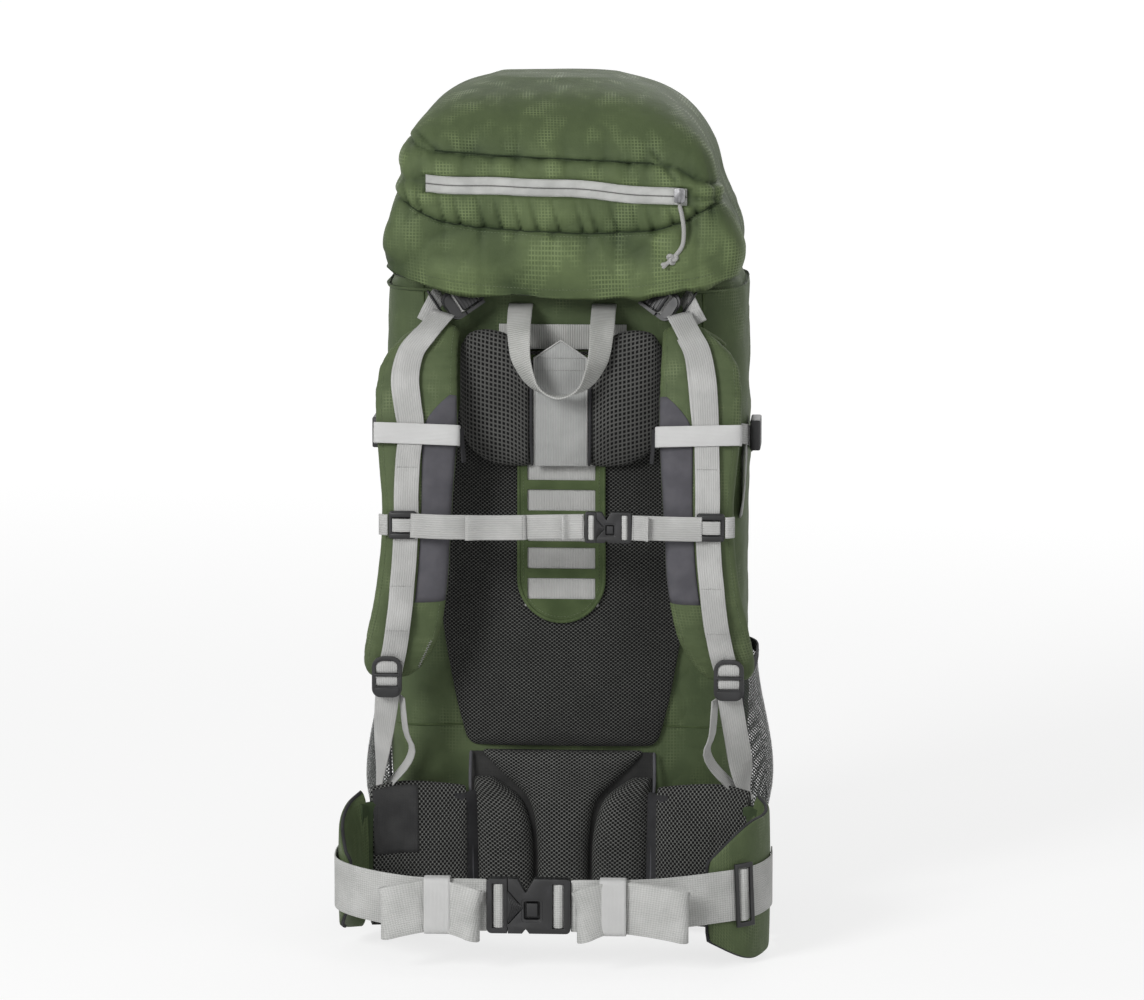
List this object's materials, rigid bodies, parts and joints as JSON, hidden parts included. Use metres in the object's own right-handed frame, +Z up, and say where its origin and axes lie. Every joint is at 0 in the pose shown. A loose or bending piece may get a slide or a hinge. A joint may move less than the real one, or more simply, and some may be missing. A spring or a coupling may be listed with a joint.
{
  "type": "hiking backpack",
  "caption": "Tall framed hiking backpack with a zipped top lid, padded harness on a height ladder, hip belt, sternum strap and open side pockets.",
  "frame": {"origin": "centre of the flat base panel, on its underside", "axes": "+Z up along the back, -Y towards the wearer (the harness side), +X to the right in a view of the harness"},
  "size_m": [0.4234, 0.4695, 0.834],
  "materials": {
    "green_ripstop": "coated ripstop nylon with a fine square grid",
    "dark_green_nylon": "thin plain-weave nylon",
    "spacer_mesh": "open spacer mesh over foam",
    "pocket_net": "stretch net",
    "grey_webbing": "ribbed woven webbing",
    "pale_elastic": "woven elastic",
    "black_plastic": "moulded acetal, satin",
    "base_cloth": "heavy coated base cloth",
    "zip_tape": "woven zip tape with coil teeth",
    "slider_metal": "die-cast metal, worn",
    "pull_cord": "braided cord",
    "frame_aluminium": "drawn rod",
    "frame_plastic": "pressed sheet"
  },
  "bodies": {
    "pack": {"main_bag": "green_ripstop", "base_panel": "base_cloth", "snow_collar": "dark_green_nylon", "frame_sheet": "frame_plastic", "frame_hoop": "frame_aluminium", "back_pad": "spacer_mesh", "lumbar_pad_centre": "spacer_mesh", "lumbar_pad_left": "spacer_mesh", "lumbar_pad_right": "spacer_mesh", "ladder_panel": "green_ripstop", "ladder_webbing": "grey_webbing", "top_webbing_bar": "grey_webbing", "lid_hinge_panel": "dark_green_nylon", "lid_buckle_left": "black_plastic", "lid_buckle_right": "black_plastic", "side_pocket_left": "pocket_net", "side_pocket_right": "pocket_net", "compression_strap_left": "grey_webbing", "compression_strap_right": "grey_webbing", "compression_buckle_left": "black_plastic", "compression_buckle_right": "black_plastic", "lower_webbing_left": "grey_webbing", "lower_webbing_right": "grey_webbing", "belt_wing_left": "spacer_mesh", "belt_wing_right": "spacer_mesh"},
    "lid": {"lid_shell": "green_ripstop", "lid_floor": "dark_green_nylon", "zip_tape": "zip_tape", "lid_strap_left": "grey_webbing", "lid_strap_right": "grey_webbing"},
    "zip_slider": {"zip_slider": "slider_metal"},
    "zip_pull": {"zip_pull": "pull_cord"},
    "haul_loop": {"haul_loop": "grey_webbing"},
    "harness": {"yoke_pad": "spacer_mesh", "yoke_tab": "grey_webbing", "strap_pad_left": "green_ripstop", "strap_pad_right": "green_ripstop", "strap_webbing_left": "grey_webbing", "strap_webbing_right": "grey_webbing", "strap_band_left": "pale_elastic", "strap_band_right": "pale_elastic"},
    "sternum_slider_left": {"sternum_slider_left": "black_plastic"},
    "sternum_slider_right": {"sternum_slider_right": "black_plastic"},
    "sternum_left": {"sternum_strap_left": "grey_webbing", "sternum_buckle_tongue": "black_plastic"},
    "sternum_right": {"sternum_strap_right": "grey_webbing", "sternum_buckle_socket": "black_plastic"},
    "strap_lock_left": {"strap_lock_left": "black_plastic"},
    "strap_lock_right": {"strap_lock_right": "black_plastic"},
    "lifter_lock_left": {"lifter_lock_left": "black_plastic"},
    "lifter_lock_right": {"lifter_lock_right": "black_plastic"},
    "belt_left": {"belt_tip_left": "green_ripstop", "belt_webbing_left": "grey_webbing", "belt_keeper_left": "pale_elastic", "hip_buckle_tongue": "black_plastic"},
    "belt_right": {"belt_tip_right": "green_ripstop", "belt_webbing_right": "grey_webbing", "belt_keeper_right": "pale_elastic", "belt_triglide": "black_plastic", "hip_buckle_socket": "black_plastic"}
  },
  "joints": [
    {"name": "lid_open", "type": "hinge", "parent": "pack", "child": "lid", "pos_m": [0, -0.15, 0.628], "axis": [1, 0, 0], "range_deg": [0, 85]},
    {"name": "zip_travel", "type": "slide", "parent": "lid", "child": "zip_slider", "axis": [0.9988, 0, -0.0489], "range_m": [-0.236, 0]},
    {"name": "pull_swing", "type": "hinge", "parent": "zip_slider", "child": "zip_pull", "pos_m": [0.11486, -0.1609, 0.72469], "axis": [-1, 0, 0], "range_deg": [0, 80]},
    {"name": "haul_lift", "type": "hinge", "parent": "pack", "child": "haul_loop", "pos_m": [0, -0.1175, 0.619], "axis": [-1, 0, 0], "range_deg": [0, 35]},
    {"name": "harness_height", "type": "slide", "parent": "pack", "child": "harness", "axis": [0, 0, 1], "range_m": [-0.058, 0], "deforming": ["lower_webbing_left", "lower_webbing_right"]},
    {"name": "sternum_height_left", "type": "slide", "parent": "harness", "child": "sternum_slider_left", "axis": [0, 0, 1], "range_m": [-0.025, 0.025]},
    {"name": "sternum_height_right", "type": "slide", "parent": "harness", "child": "sternum_slider_right", "axis": [0, 0, 1], "range_m": [-0.025, 0.025]},
    {"name": "sternum_open_left", "type": "hinge", "parent": "sternum_slider_left", "child": "sternum_left", "pos_m": [-0.14, -0.2222, 0.4165], "axis": [0, 0, -1], "range_deg": [0, 75]},
    {"name": "sternum_open_right", "type": "hinge", "parent": "sternum_slider_right", "child": "sternum_right", "pos_m": [0.14, -0.2222, 0.4165], "axis": [0, 0, 1], "range_deg": [0, 75]},
    {"name": "strap_lock_tilt_left", "type": "hinge", "parent": "harness", "child": "strap_lock_left", "pos_m": [-0.1655, -0.1966, 0.2845], "axis": [-1, 0, 0], "range_deg": [0, 40]},
    {"name": "strap_lock_tilt_right", "type": "hinge", "parent": "harness", "child": "strap_lock_right", "pos_m": [0.1655, -0.1966, 0.2845], "axis": [-1, 0, 0], "range_deg": [0, 40]},
    {"name": "lifter_lock_tilt_left", "type": "hinge", "parent": "pack", "child": "lifter_lock_left", "pos_m": [-0.08132, -0.12606, 0.63495], "axis": [-0.5547, 0, 0.8321], "range_deg": [0, 15]},
    {"name": "lifter_lock_tilt_right", "type": "hinge", "parent": "pack", "child": "lifter_lock_right", "pos_m": [0.08132, -0.12606, 0.63495], "axis": [-0.5547, 0, -0.8321], "range_deg": [0, 15]},
    {"name": "belt_open_left", "type": "hinge", "parent": "pack", "child": "belt_left", "pos_m": [-0.193, -0.164, 0.076], "axis": [0, 0, -1], "range_deg": [0, 80]},
    {"name": "belt_open_right", "type": "hinge", "parent": "pack", "child": "belt_right", "pos_m": [0.193, -0.164, 0.076], "axis": [0, 0, 1], "range_deg": [0, 80]}
  ],
  "couplings": [
    {"joint": "sternum_height_right", "follows": "sternum_height_left", "ratio": 1}
  ]
}
